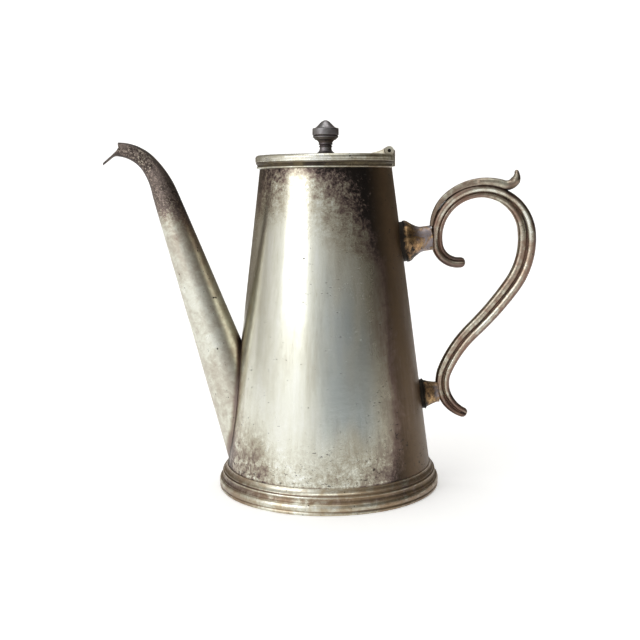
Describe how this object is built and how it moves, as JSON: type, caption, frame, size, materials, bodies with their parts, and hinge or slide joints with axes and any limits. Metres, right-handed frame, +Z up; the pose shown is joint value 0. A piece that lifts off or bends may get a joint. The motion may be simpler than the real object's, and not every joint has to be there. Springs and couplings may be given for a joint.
{
  "type": "coffee pot",
  "caption": "Tall tapered metal coffee pot with a long bent spout, a reeded scroll handle on two sockets, a moulded foot and a flat hinged lid with a turned finial",
  "frame": {"origin": "centre of the foot, on the table that the pot stands on", "axes": "+Z up along the body's axis, +X towards the handle, so the spout points along -X"},
  "size_m": [0.2353, 0.1224, 0.2],
  "materials": {
    "silver_plate": "tarnished silver plate, satin with dark patches",
    "worn_socket": "plate worn through to brass, pitted",
    "brass_pin": "satin"
  },
  "bodies": {
    "pot": {"body_shell": "silver_plate", "base_plate": "silver_plate", "foot_band": "silver_plate", "rim_band": "silver_plate", "spout": "silver_plate", "upper_socket": "worn_socket", "lower_socket": "worn_socket", "handle_scroll": "silver_plate", "thumb_leaf": "silver_plate", "hinge_bracket": "silver_plate", "hinge_pin": "brass_pin"},
    "lid": {"lid_plate": "silver_plate", "lid_border": "silver_plate", "lid_bezel": "silver_plate", "lid_hinge_leaf": "silver_plate", "finial": "silver_plate", "finial_stud": "brass_pin", "finial_washer": "brass_pin", "finial_nut": "brass_pin"}
  },
  "joints": [
    {"name": "lid_hinge", "type": "hinge", "parent": "pot", "child": "lid", "pos_m": [0.0335, 0, 0.1832], "axis": [0, 1, 0], "range_deg": [0, 105]}
  ]
}
